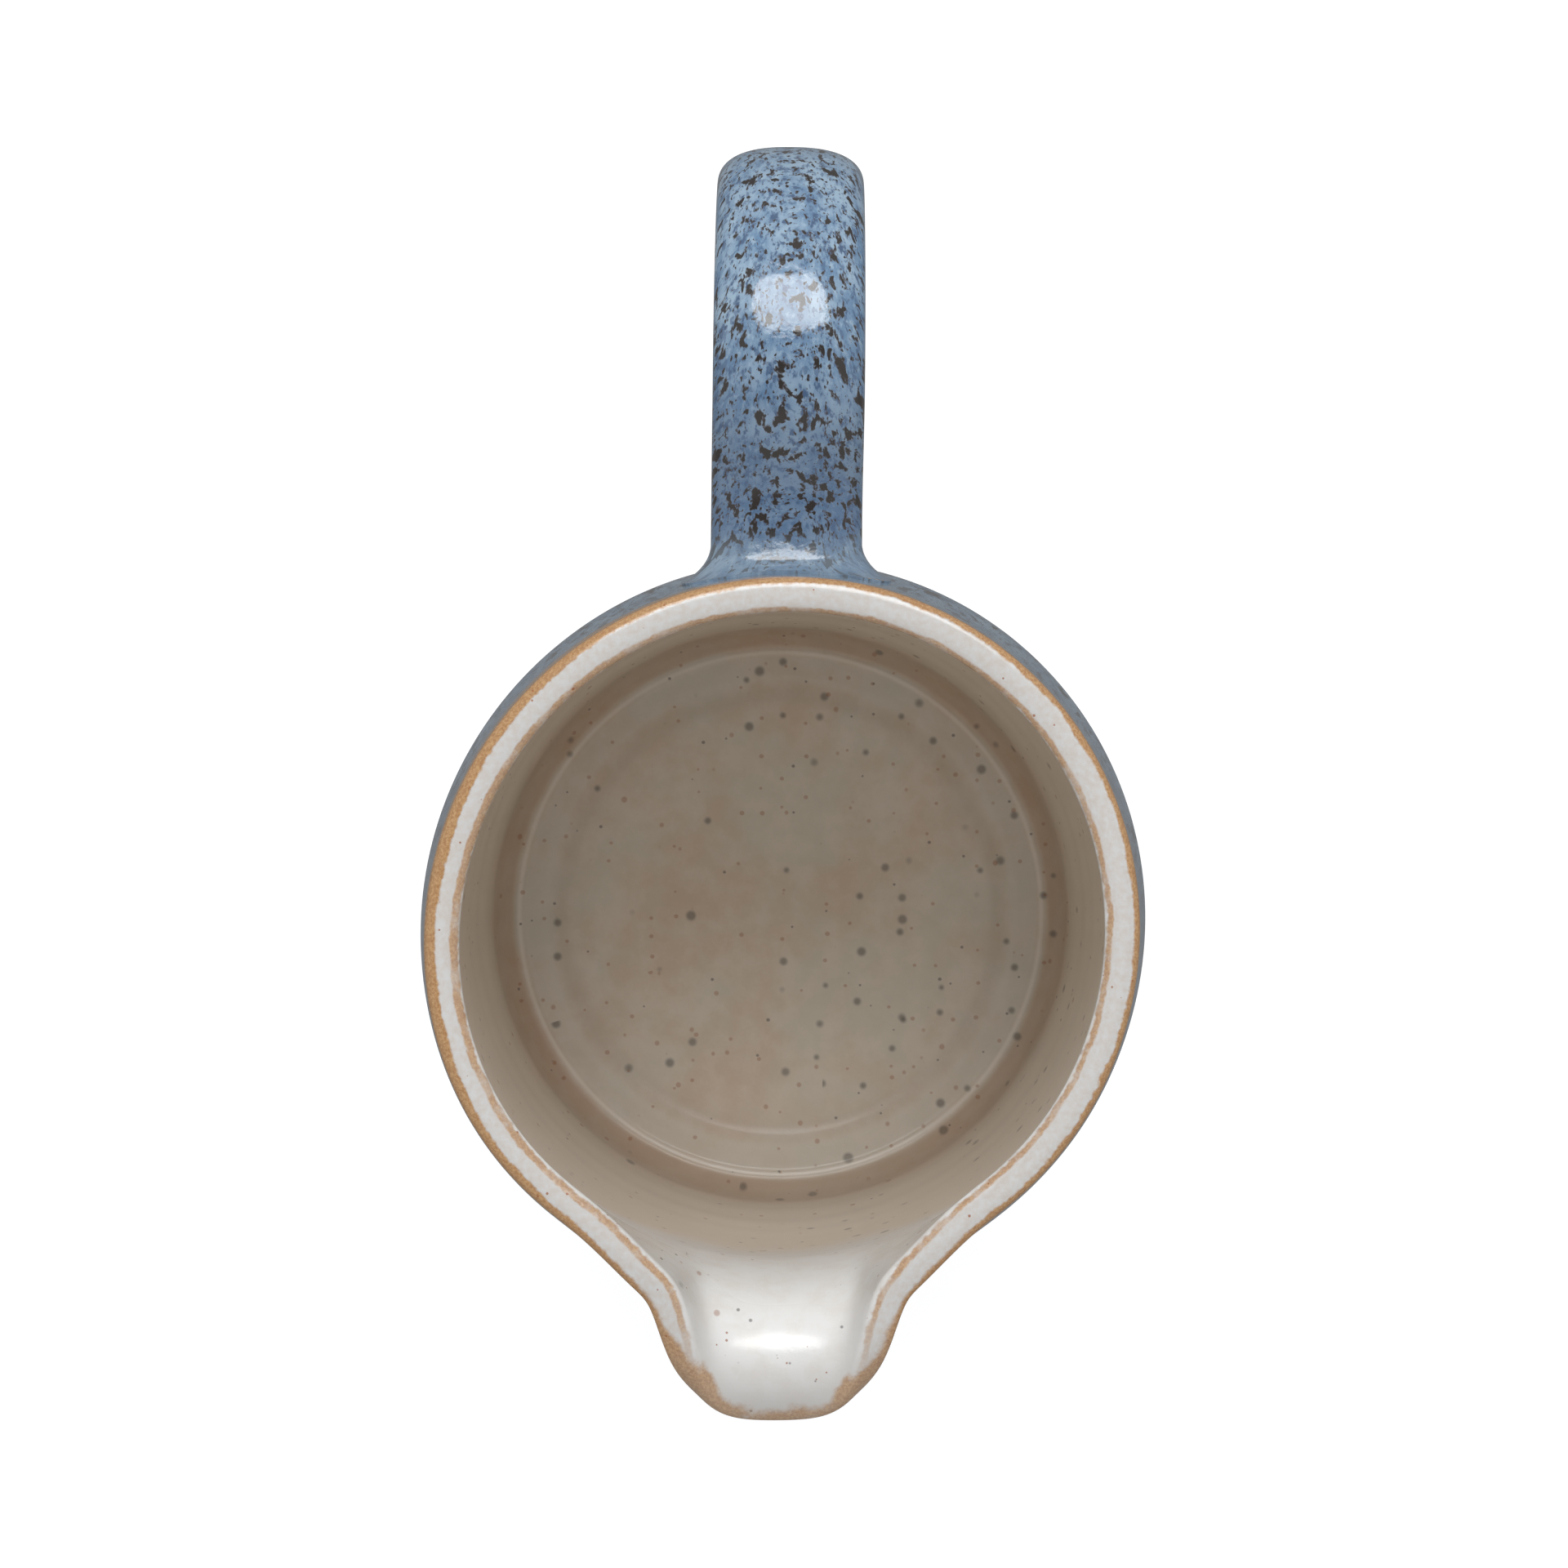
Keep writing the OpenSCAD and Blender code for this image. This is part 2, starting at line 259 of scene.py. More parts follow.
SPOUT_COLUMNS = 184
ROUND_COLUMNS = 160
# The body's clay, under the glazes, takes every fourth row and column
STRIDE = 4
# Rows from the crown's outer side to where the two glazes meet
GLAZES_MEET = 5

UNDER_ROWS = 8
HEEL_ROWS = 12
BARREL_ROWS = 40
UPPER_ROWS = 52
CROWN_ROWS = 32
INSIDE_ROWS = 36
COVE_ROWS = 16
FLOOR_ROWS = 52


def lathed(angle, r, z):
    """Points on a circle round the axis; the angle is measured from the spout."""
    a = np.radians(angle)
    return np.stack([r * np.sin(a), -r * np.cos(a), z + 0 * angle], axis=-1)


def inside_r(z):
    """Inside radius of the barrel, with the rings that the thrower's fingers left."""
    rings = 0.08 * np.cos((z - 24) / 14 * 2 * np.pi) * (1 - smoothstep(45, 75, z))
    return outer_r(z) - WALL_T + rings * smoothstep(FLOOR_Z + COVE_H, FLOOR_Z + COVE_H + 6, z)


def floor_height(r):
    """Height of the floor at a radius: low rings, a step, and a ridge near its edge."""
    ridge = RIDGE_H * bell(r, RIDGE_R, RIDGE_W)
    step = STEP_H * smoothstep(36.2, 39.0, r)
    rings = 0.03 * np.cos(r / 2.9 * 2 * np.pi) * smoothstep(28, 36, r) * (1 - smoothstep(41, 43, r))
    return FLOOR_Z + ridge + step + rings


def profile_rows(angle):
    """The body's surface as a list of (section name, points of one row)."""
    ones = np.ones_like(angle)
    rows = []
    for i in range(UNDER_ROWS):
        share = (i + 0.2) / UNDER_ROWS
        rows.append(("under", lathed(angle, HEEL_CENTRE * share * ones, FOOT_H)))
    for i in range(HEEL_ROWS):
        turn = math.radians(90 * i / HEEL_ROWS)
        r = HEEL_CENTRE + HEEL_R * math.sin(turn)
        rows.append(("heel", lathed(angle, r * ones, HEEL_TOP - HEEL_R * math.cos(turn))))
    for i in range(BARREL_ROWS):
        z = HEEL_TOP + (SPOUT_Z - HEEL_TOP) * i / BARREL_ROWS
        rows.append(("barrel", lathed(angle, outer_r(z) * ones, z)))
    for i in range(UPPER_ROWS):
        rows.append(("outside", wall_point(angle, i / UPPER_ROWS * ones, HALF_WALL)))
    for i in range(CROWN_ROWS + 1):
        turn = math.pi * i / CROWN_ROWS
        rows.append(("crown", crown_point(angle, turn)))
    for i in range(1, UPPER_ROWS + 1):
        u = (1 - i / UPPER_ROWS) * ones
        rows.append(("inside", wall_point(angle, u, groove(angle, u) - HALF_WALL)))
    corner_z = FLOOR_Z + COVE_H
    for i in range(1, INSIDE_ROWS + 1):
        z = SPOUT_Z + (corner_z - SPOUT_Z) * i / INSIDE_ROWS
        rows.append(("barrel_in", lathed(angle, inside_r(z) * ones, z)))
    corner_r = outer_r(corner_z) - WALL_T - COVE_W
    for i in range(1, COVE_ROWS + 1):
        turn = math.pi / 2 * i / COVE_ROWS
        r = corner_r + COVE_W * math.cos(turn)
        z = corner_z - COVE_H * math.sin(turn) + floor_height(r) - FLOOR_Z
        rows.append(("cove", lathed(angle, r * ones, z)))
    for i in range(1, FLOOR_ROWS):
        r = corner_r * (1 - (i / FLOOR_ROWS) ** 1.3)
        rows.append(("floor", lathed(angle, r * ones, floor_height(r))))
    return rows


def coat_lengths(points, names):
    """Where each point lies on the glaze: below 0 down the outside, from 0 to WALL_T across the
    rim, and above WALL_T down the inside."""
    steps = np.linalg.norm(np.diff(points, axis=0), axis=-1)
    length = np.concatenate([np.zeros((1, points.shape[1])), np.cumsum(steps, axis=0)])
    first = int(np.argmax(names == "crown"))
    last = first + CROWN_ROWS
    coat = length - length[first]
    coat[last:] = length[last:] - length[last] + WALL_T
    turn = np.pi * np.arange(CROWN_ROWS + 1) / CROWN_ROWS
    coat[first:last + 1] = (HALF_WALL * (1 - squared(np.cos(turn), CROWN_ROUND)))[:, None]
    return coat


def edge_lines(angle):
    """How broad the toasted lines at the rim's edges are at an angle from the spout: they are
    broad on one side, where the glaze ran thin, and at the corners of the lip."""
    thin_side = bell(angle, -95, 62)
    ran = bell(angle, -142, 36)
    corners = bell(angle, -10.5, 3.6) + 0.75 * bell(angle, 10.5, 3.2)
    lip = hump(angle / 13, 4, 2)
    return {
        "outer_line": 0.85 + 0.75 * thin_side + 3.4 * corners + 5.5 * lip,
        "outer_drip": 0.9 + 2.6 * ran + 0.8 * thin_side + 2.0 * lip,
        "inner_line": 0.42 + 0.2 * thin_side,
        "inner_at": 4.3 + 0.6 * bell(np.abs(angle), 180, 75),
        "white_reach": 3.5 + 43.5 * hump(angle / 48, 2, 1.3),
        "white_fade": 12 + 24 * hump(angle / 50, 2, 1.3),
    }


def body_grid():
    """Points, normals and per-point values of the whole body, in rows and columns."""
    spout_angles = np.linspace(-SPOUT_SIDE, SPOUT_SIDE, SPOUT_COLUMNS, endpoint=False)
    round_angles = np.linspace(SPOUT_SIDE, 360 - SPOUT_SIDE, ROUND_COLUMNS, endpoint=False)
    angle = np.concatenate([spout_angles, round_angles])
    from_spout = (angle + 180) % 360 - 180
    rows = profile_rows(from_spout)
    names = np.array([name for name, _ in rows])
    points = bend(np.stack([row for _, row in rows]))
    normals = grid_normals(points)
    shape = points.shape[:2]
    values = {"coat": coat_lengths(points, names), "spout": np.broadcast_to(pull(from_spout), shape)}
    for key, row in edge_lines(from_spout).items():
        values[key] = np.broadcast_to(row, shape)
    return {"points": points, "normals": normals, "names": names, "values": values}


# ---- Meshes from grids ----------------------------------------------------------------------

def new_piece(name, points, faces, loop_normals, values):
    """A mesh object from points in millimetres, with its own shading normals."""
    mesh = bpy.data.meshes.new(name)
    mesh.from_pydata((points * MM).tolist(), [], faces)
    for key, numbers in values.items():
        numbers = np.asarray(numbers, dtype=np.float32)
        kind = "FLOAT_VECTOR" if numbers.ndim == 2 else "FLOAT"
        attribute = mesh.attributes.new(key, kind, "POINT")
        attribute.data.foreach_set("vector" if numbers.ndim == 2 else "value", numbers.ravel())
    mesh.polygons.foreach_set("use_smooth", [True] * len(mesh.polygons))
    mesh.update()
    if loop_normals is not None:
        mesh.normals_split_custom_set(loop_normals.tolist())
    piece = bpy.data.objects.new(name, mesh)
    bpy.context.scene.collection.objects.link(piece)
    return piece


def face_normal(points, face):
    """Normal of a flat face with any number of corners."""
    corners = points[list(face)]
    total = np.zeros(3)
    for here, after in zip(corners, np.roll(corners, -1, axis=0)):
        total += np.cross(here, after)
    return total / max(np.linalg.norm(total), 1e-12)


class Surface:
    """A grid of points that closes on itself sideways, from which pieces are cut."""

    def __init__(self, grid, step=1, inset=0.0):
        self.points = (grid["points"] - inset * grid["normals"])[::step, ::step]
        self.normals = grid["normals"][::step, ::step]
        self.values = {key: value[::step, ::step] for key, value in grid["values"].items()}
        self.rows, self.columns = self.points.shape[:2]

    def index(self, row, column):
        return row * self.columns + column % self.columns

    def quad(self, row, column):
        return (
            self.index(row, column), self.index(row, column + 1),
            self.index(row + 1, column + 1), self.index(row + 1, column),
        )

    def flat_points(self):
        return self.points.reshape(-1, 3)


def skin(name, grid, keep, depth):
    """A closed coat of even depth under the grid's faces where keep(row, column) is true."""
    top = Surface(grid)
    under = Surface(grid, inset=depth)
    count = top.rows * top.columns
    faces = []
    flat = []
    edges = {}
    for row in range(top.rows - 1):
        for column in range(top.columns):
            if not keep[row, column]:
                continue
            face = top.quad(row, column)
            faces.append(face)
            faces.append(tuple(count + i for i in reversed(face)))
            flat += [False, False]
            for here, after in zip(face, face[1:] + face[:1]):
                if (after, here) in edges:
                    del edges[(after, here)]
                else:
                    edges[(here, after)] = True
    if keep[top.rows - 1].any():
        last = [top.index(top.rows - 1, column) for column in range(top.columns)]
        faces += [tuple(last), tuple(count + i for i in reversed(last))]
        flat += [True, True]
        for here, after in zip(last, last[1:] + last[:1]):
            edges.pop((after, here), None)
    for here, after in edges:
        faces.append((after, here, count + here, count + after))
        flat.append(True)
    points = np.concatenate([top.flat_points(), under.flat_points()])
    normals = np.concatenate([top.normals.reshape(-1, 3), -top.normals.reshape(-1, 3)])
    values = {
        key: np.concatenate([value.reshape(count, -1)] * 2).squeeze()
        for key, value in top.values.items()
    }
    return compact(name, points, faces, flat, normals, values)


def compact(name, points, faces, flat, normals, values):
    """Drops the points that no face uses and makes the piece."""
    used = np.unique(np.concatenate([np.array(face) for face in faces]))
    renumbered = np.full(len(points), -1)
    renumbered[used] = np.arange(len(used))
    loop_normals = []
    for face, is_flat in zip(faces, flat):
        if is_flat:
            loop_normals += [face_normal(points, face)] * len(face)
        else:
            loop_normals += [normals[i] for i in face]
    moved = [tuple(int(renumbered[i]) for i in face) for face in faces]
    kept = {key: value[used] for key, value in values.items()}
    return new_piece(name, points[used], moved, np.array(loop_normals), kept)


def body_masks(grid):
    """Which faces of the grid belong to the spout, the liner and the outer glaze."""
    names = grid["names"]
    rows, columns = grid["points"].shape[:2]
    upper = np.isin(names, ["outside", "crown"]) | (names == "inside")
    upper_face = np.zeros(rows, dtype=bool)
    upper_face[:-1] = upper[:-1] & upper[1:]
    in_spout = np.zeros((rows, columns), dtype=bool)
    in_spout[:, :SPOUT_COLUMNS] = upper_face[:, None]
    rim_row = int(np.argmax(names == "crown"))
    edge_row = rim_row + GLAZES_MEET
    heel_row = int(np.argmax(names == "heel")) + HEEL_ROWS // 2
    liner = np.zeros((rows, columns), dtype=bool)
    liner[edge_row:] = True
    outer = np.zeros((rows, columns), dtype=bool)
    outer[heel_row:edge_row] = True
    return in_spout, liner, outer


def wall_solid(name, grid, spout):
    """The clay under the glazes: the spout's block, or all the rest of the body."""
    names = grid["names"][::STRIDE]
    clay = Surface(grid, step=STRIDE, inset=GLAZE_T)
    under = names == "under"
    clay.points[under] = grid["points"][::STRIDE, ::STRIDE][under]
    first = int(np.argmax(names == "outside"))
    last = len(names) - 1 - int(np.argmax(names[::-1] == "inside"))
    side = SPOUT_COLUMNS // STRIDE
    faces = []
    for row in range(clay.rows - 1):
        for column in range(clay.columns):
            inside_block = first <= row < last and column < side
            if inside_block == spout:
                faces.append(clay.quad(row, column))
    flat = [False] * len(faces)
    cap = []
    for column in range(side):
        cap.append((
            clay.index(first, column), clay.index(first, column + 1),
            clay.index(last, column + 1), clay.index(last, column),
        ))
    for step in range((last - first) // 2):
        low, high = first + step, last - step
        for column, flip in ((0, False), (side, True)):
            corners = [clay.index(low, column), clay.index(low + 1, column)]
            if high - 1 != low + 1:
                corners.append(clay.index(high - 1, column))
            corners.append(clay.index(high, column))
            cap.append(tuple(reversed(corners)) if flip else tuple(corners))
    if spout:
        cap = [tuple(reversed(face)) for face in cap]
    else:
        cap.append(tuple(clay.index(clay.rows - 1, column) for column in range(clay.columns)))
        cap.append(tuple(clay.index(0, column) for column in reversed(range(clay.columns))))
    faces += cap
    flat += [True] * len(cap)
    count = clay.rows * clay.columns
    values = {key: value.reshape(count) for key, value in clay.values.items()}
    return compact(name, clay.flat_points(), faces, flat, clay.normals.reshape(-1, 3), values)


# ---- Foot ring ------------------------------------------------------------------------------

FOOT_COLUMNS = 240
FOOT_CORNER_STEPS = 6
# The foot spreads a little where it joins the underside
FOOT_SPREAD = 0.25
FOOT_NECK = 0.7


def foot_ring():
    """The turned ring of bare clay that the pitcher stands on."""
    inner, outer = FOOT_R - FOOT_W, FOOT_R
    section = [(outer + FOOT_SPREAD, FOOT_H), (outer, FOOT_H - FOOT_NECK)]
    for i in range(FOOT_CORNER_STEPS + 1):
        turn = math.radians(-90 * i / FOOT_CORNER_STEPS)
        section.append((
            outer - FOOT_EDGE_R + FOOT_EDGE_R * math.cos(turn),
            FOOT_EDGE_R + FOOT_EDGE_R * math.sin(turn),
        ))
    for i in range(FOOT_CORNER_STEPS + 1):
        turn = math.radians(-90 - 90 * i / FOOT_CORNER_STEPS)
        section.append((
            inner + FOOT_EDGE_R + FOOT_EDGE_R * math.cos(turn),
            FOOT_EDGE_R + FOOT_EDGE_R * math.sin(turn),
        ))
    section += [(inner, FOOT_H - FOOT_NECK), (inner - FOOT_SPREAD, FOOT_H)]
    angle = np.linspace(-180, 180, FOOT_COLUMNS, endpoint=False)
    rows = [lathed(angle, r * np.ones_like(angle), z) for r, z in section]
    points = bend(np.stack(rows))
    points[..., 2] = np.maximum(points[..., 2], 0)
    count = len(section)
    faces = []
    for row in range(count):
        for column in range(FOOT_COLUMNS):
            after = (column + 1) % FOOT_COLUMNS
            lower = (row + 1) % count
            faces.append((
                row * FOOT_COLUMNS + after, row * FOOT_COLUMNS + column,
                lower * FOOT_COLUMNS + column, lower * FOOT_COLUMNS + after,
            ))
    return new_piece("foot_ring", points.reshape(-1, 3), faces, None, {})


# ---- Handle ---------------------------------------------------------------------------------

STRAP_POINTS = 96
BEND_STEPS = 44
ARC_STEPS = 48
FILLET_STEPS = 14
# How far the fillets' edges sink into the wall's glaze
SINK = 0.15
# From the clay wall to the strap's first bend
JOINT_RUN = JOINT_R + 3
STRAP_SQUARE = 0.8
SWELL = 0.1
# The glaze's pattern: its width round the strap, and how far it ran down the strap's sides
PATTERN_R = 11.0
PATTERN_RUN = 6.5


def bezier(a, b, c, d, steps):
    """Points on a cubic curve from a towards d, without d itself."""
    t = (np.arange(steps) / steps)[:, None]
    return (1 - t) ** 3 * a + 3 * (1 - t) ** 2 * t * b + 3 * (1 - t) * t ** 2 * c + t ** 3 * d


def clay_r(z):
    """Outside radius of the clay under the glaze."""
    return outer_r(z) - GLAZE_T


def strap_path():
    """Centreline of the strap as [Y, Z], from the upper joint round to the lower one."""
    turn_y = HANDLE_END - STRAP_T / 2 - TURN_R
    top = np.array([turn_y, UPPER_Z + HANDLE_RISE])
    start = np.array([clay_r(UPPER_Z) + JOINT_RUN, UPPER_Z])
    rise_pull = np.array([(turn_y - start[0]) * 0.45, 0])
    outer = top + [TURN_R, -TURN_R]
    end = np.array([clay_r(LOWER_Z) + JOINT_RUN, LOWER_Z])
    fall = outer[1] - LOWER_Z
    turn = np.radians(90 - 90 * np.arange(ARC_STEPS) / ARC_STEPS)
    arc = top + TURN_R * np.stack([np.cos(turn), np.sin(turn) - 1], axis=-1)
    return np.concatenate([
        bezier(start, start + rise_pull, top - rise_pull, top, BEND_STEPS),
        arc,
        bezier(outer, outer - [0, 0.55 * fall], end + [0.55 * fall, 0], end, BEND_STEPS),
        end[None],
    ])


def strap_section(grow):
    """Outline of the strap, grown outwards by a distance."""
    theta = 2 * np.pi * np.arange(STRAP_POINTS) / STRAP_POINTS
    x = (STRAP_W / 2 + grow) * squared(np.sin(theta), STRAP_SQUARE)
    y = (STRAP_T / 2 + grow) * squared(np.cos(theta), STRAP_SQUARE)
    return x, y


def joint_loop(height, up, turn):
    """A loop of the fillet round a joint, which runs from turn 0 at the wall to 90 degrees at
    the strap. The fillet is tighter over and under the strap than at its sides."""
    theta = 2 * np.pi * np.arange(STRAP_POINTS) / STRAP_POINTS
    radius = JOINT_TOP_R + (JOINT_R - JOINT_TOP_R) * np.sin(theta) ** 2
    x, y = strap_section(radius * (1 - math.sin(turn)))
    away = radius * (1 - math.cos(turn)) - SINK * math.cos(turn) ** 8
    z = height + up * y
    reach = np.sqrt(outer_r(z) ** 2 - x ** 2)
    return np.stack([x, reach + away, z], axis=-1)


def handle_grid():
    """Points, normals and per-point values of the strap and its fillets, in loops."""
    loops = []
    for i in range(FILLET_STEPS):
        loops.append(joint_loop(UPPER_Z, 1, math.pi / 2 * i / FILLET_STEPS))
    path = strap_path()
    tangent = unit(np.gradient(path, axis=0))
    tangent[0] = [1, 0]
    tangent[-1] = [-1, 0]
    x, y = strap_section(0)
    for (py, pz), (ty, tz) in zip(path, tangent):
        loops.append(np.stack([x, py - tz * y, pz + ty * y], axis=-1))
    for i in reversed(range(FILLET_STEPS)):
        loops.append(joint_loop(LOWER_Z, -1, math.pi / 2 * i / FILLET_STEPS))
    points = np.stack(loops)
    centre = points.mean(axis=1)
    run = np.concatenate([[0], np.cumsum(np.linalg.norm(np.diff(centre, axis=0), axis=-1))])
    # The strap is pulled by hand, so it isn't quite even
    swell = SWELL * np.sin(run / 17) * smoothstep(0, 25, run)
    offset = points - centre[:, None]
    points = points + offset * (swell / (STRAP_W / 2))[:, None, None]
    points = bend(points)
    normals = -grid_normals(points)
    theta = 2 * np.pi * np.arange(STRAP_POINTS) / STRAP_POINTS
    # Coordinates that follow the glaze as it ran off the strap's top and towards the body
    eased = theta + 0.3 * np.sin(2 * theta)
    drawn = PATTERN_RUN * (1 - np.cos(theta))
    flow = np.stack([
        np.broadcast_to(PATTERN_R * np.sin(eased), points.shape[:2]),
        run[:, None] + drawn[None, :],
        np.broadcast_to(PATTERN_R * np.cos(eased), points.shape[:2]),
    ], axis=-1)
    values = {"flow": flow, "run": np.broadcast_to(run[:, None], points.shape[:2])}
    return {"points": points, "normals": normals, "values": values}


def handle_skin(grid):
    """The glaze over the strap and its two fillets, as a closed coat open at the wall."""
    rows, columns = grid["points"].shape[:2]
    count = rows * columns
    under = grid["points"] - GLAZE_T * grid["normals"]
    points = np.concatenate([grid["points"].reshape(-1, 3), under.reshape(-1, 3)])
    normals = np.concatenate([grid["normals"].reshape(-1, 3), -grid["normals"].reshape(-1, 3)])
    faces = []
    flat = []
    for row in range(rows - 1):
        for column in range(columns):
            after = (column + 1) % columns
            face = (
                row * columns + column, (row + 1) * columns + column,
                (row + 1) * columns + after, row * columns + after,
            )
            faces += [face, tuple(count + i for i in reversed(face))]
            flat += [False, False]
    for column in range(columns):
        after = (column + 1) % columns
        end = (rows - 1) * columns
        faces.append((column, after, count + after, count + column))
        faces.append((end + after, end + column, count + end + column, count + end + after))
        flat += [True, True]
    values = {}
    for key, value in grid["values"].items():
        flat_value = value.reshape(count, -1)
        values[key] = np.concatenate([flat_value, flat_value]).squeeze()
    return compact("handle_glaze", points, faces, flat, normals, values)


def strap_solid(name, grid, first, last):
    """A length of the clay under the strap's glaze, closed at both ends."""
    columns = STRAP_POINTS // 2
    inner = (grid["points"] - GLAZE_T * grid["normals"])[first:last + 1, ::2]
    normals = grid["normals"][first:last + 1, ::2].reshape(-1, 3)
    rows = inner.shape[0]
    faces = []
    for row in range(rows - 1):
        for column in range(columns):
            after = (column + 1) % columns
            faces.append((
                row * columns + column, (row + 1) * columns + column,
                (row + 1) * columns + after, row * columns + after,
            ))
    flat = [False] * len(faces)
    faces.append(tuple(range(columns)))
    faces.append(tuple((rows - 1) * columns + i for i in reversed(range(columns))))
    flat += [True, True]
    return compact(name, inner.reshape(-1, 3), faces, flat, normals, {})


# ---- Material helpers -----------------------------------------------------------------------

class Graph:
    """A material's node tree, with short names for the nodes used here."""

    def __init__(self, name):
        self.material = bpy.data.materials.new(name)
        self.material.use_nodes = True
        self.tree = self.material.node_tree
        self.tree.nodes.clear()
        self.shader = self.add("BsdfPrincipled")
        output = self.add("OutputMaterial")
        self.tree.links.new(self.shader.outputs["BSDF"], output.inputs["Surface"])
        metres = self.add("TexCoord").outputs["Object"]
        self.place = self.scaled(metres, (1 / MM, 1 / MM, 1 / MM))

    def add(self, kind, inputs=None, **settings):
        node = self.tree.nodes.new("ShaderNode" + kind)
        for name, value in settings.items():
            setattr(node, name, value)
        for name, value in (inputs or {}).items():
            self.feed(node.inputs[name], value)
        return node

    def feed(self, socket, value):
        if isinstance(value, bpy.types.NodeSocket):
            self.tree.links.new(value, socket)
        elif socket.type == "RGBA" and len(value) == 3:
            socket.default_value = (*value, 1)
        else:
            socket.default_value = value

    def value(self, name, kind="Fac"):
        return self.add("Attribute", attribute_name=name).outputs[kind]

    def scaled(self, vector, factors):
        node = self.add("VectorMath", operation="MULTIPLY")
        self.feed(node.inputs[0], vector)
        node.inputs[1].default_value = factors
        return node.outputs[0]

    def math(self, operation, first, second=0.0, clamp=False):
        node = self.add("Math", operation=operation, use_clamp=clamp)
        self.feed(node.inputs[0], first)
        self.feed(node.inputs[1], second)
        return node.outputs[0]

    def noise(self, vector, size, detail=2.0, roughness=0.5, distortion=0.0):
        """Noise whose blotches are about size millimetres across."""
        node = self.add("TexNoise", {
            "Vector": vector, "Scale": 1 / size, "Detail": detail,
            "Roughness": roughness, "Distortion": distortion,
        })
        return node.outputs["Fac"]

    def ramp(self, value, low, high, out_low=0.0, out_high=1.0):
        node = self.add("MapRange", {
            "Value": value, "From Min": low, "From Max": high,
            "To Min": out_low, "To Max": out_high,
        }, interpolation_type="SMOOTHSTEP")
        return node.outputs["Result"]

    def band(self, value, low, high, soft):
        """1 between low and high, and 0 outside them."""
        rise = self.ramp(value, low - soft, low + soft)
        fall = self.ramp(value, high - soft, high + soft, 1.0, 0.0)
        return self.math("MULTIPLY", rise, fall)

    def mix(self, factor, first, second):
        node = self.add("Mix", data_type="RGBA", blend_type="MIX")
        self.feed(node.inputs[0], factor)
        self.feed(node.inputs[6], first)
        self.feed(node.inputs[7], second)
        return node.outputs[2]

    def dots(self, vector, spacing, radius, chance, soft=0.35, net="3D"):
        """Round dots, one in some of the cells of a random net; chance is how many get one."""
        node = self.add("TexVoronoi", voronoi_dimensions=net)
        self.feed(node.inputs["Vector"], vector)
        self.feed(node.inputs["Scale"], 1 / spacing)
        pick = self.add("SeparateColor", {"Color": node.outputs["Color"]})
        there = self.math("LESS_THAN", pick.outputs[0], chance)
        size = self.math("MULTIPLY_ADD", pick.outputs[1], 0.6)
        self.feed(size.node.inputs[2], 0.6)
        edge = self.math("MULTIPLY", size, radius / spacing)
        gap = self.math("SUBTRACT", edge, node.outputs["Distance"])
        shape = self.ramp(gap, -soft * radius / spacing, soft * radius / spacing)
        return self.math("MULTIPLY", shape, there)

    def bump(self, height, distance, strength=1.0, normal=None):
        node = self.add("Bump", {"Strength": strength, "Distance": distance * MM, "Height": height})
        if normal is not None:
            self.feed(node.inputs["Normal"], normal)
        return node.outputs["Normal"]

    def finish(self, colour, roughness, normal, coat=0.0, coat_roughness=0.05):
        self.feed(self.shader.inputs["Base Color"], colour)
        self.feed(self.shader.inputs["Roughness"], roughness)
        self.feed(self.shader.inputs["Normal"], normal)
        self.shader.inputs["Coat Weight"].default_value = coat
        self.shader.inputs["Coat Roughness"].default_value = coat_roughness
        return self.material


# Colours of the clay and the glazes
TOASTED = (0.36, 0.19, 0.085)
SAND = (0.50, 0.31, 0.15)
CLAY_GRAIN = (0.62, 0.45, 0.27)
CLAY_SPECK = (0.10, 0.05, 0.03)
RUST = (0.30, 0.10, 0.035)
WHITE = (0.58, 0.58, 0.575)
MILK = (0.55, 0.51, 0.475)
BRIGHT = (0.76, 0.76, 0.75)
SHELL = (0.72, 0.70, 0.67)
CREAM = (0.70, 0.640, 0.560)
TAN = (0.60, 0.475, 0.365)
MOSS = (0.59, 0.570, 0.490)
INK = (0.030, 0.026, 0.024)
BLUE = (0.120, 0.215, 0.345)
DEEP_BLUE = (0.060, 0.105, 0.190)
PALE_BLUE = (0.29, 0.40, 0.51)
GREY_BLUE = (0.19, 0.24, 0.29)
SPECK_EDGE = (0.075, 0.050, 0.038)
# Tones of the lining where it is thick, thin or dirtied by iron. The front's brown is partly painted
# shade, the lip's grey and the step's brown are painted shade, and the ridge's pale crest is a painted
# highlight
WALL_CREAM = (0.88, 0.81, 0.72)
FLOOR_BROWN = (0.33, 0.27, 0.21)
FRONT_BROWN_AND_SHADE = (0.56, 0.47, 0.38)
LIP_PAINTED_SHADE = (0.46, 0.44, 0.42)
RING_BROWN = (0.50, 0.33, 0.23)
RING_PALE = (0.64, 0.62, 0.55)
STEP_PAINTED_SHADE = (0.40, 0.34, 0.27)
CREST_PAINTED_HIGHLIGHT = (0.78, 0.73, 0.66)
IRON = (0.085, 0.080, 0.075)
FLOOR_IRON = (0.07, 0.068, 0.066)
FINE_IRON = (0.12, 0.11, 0.11)


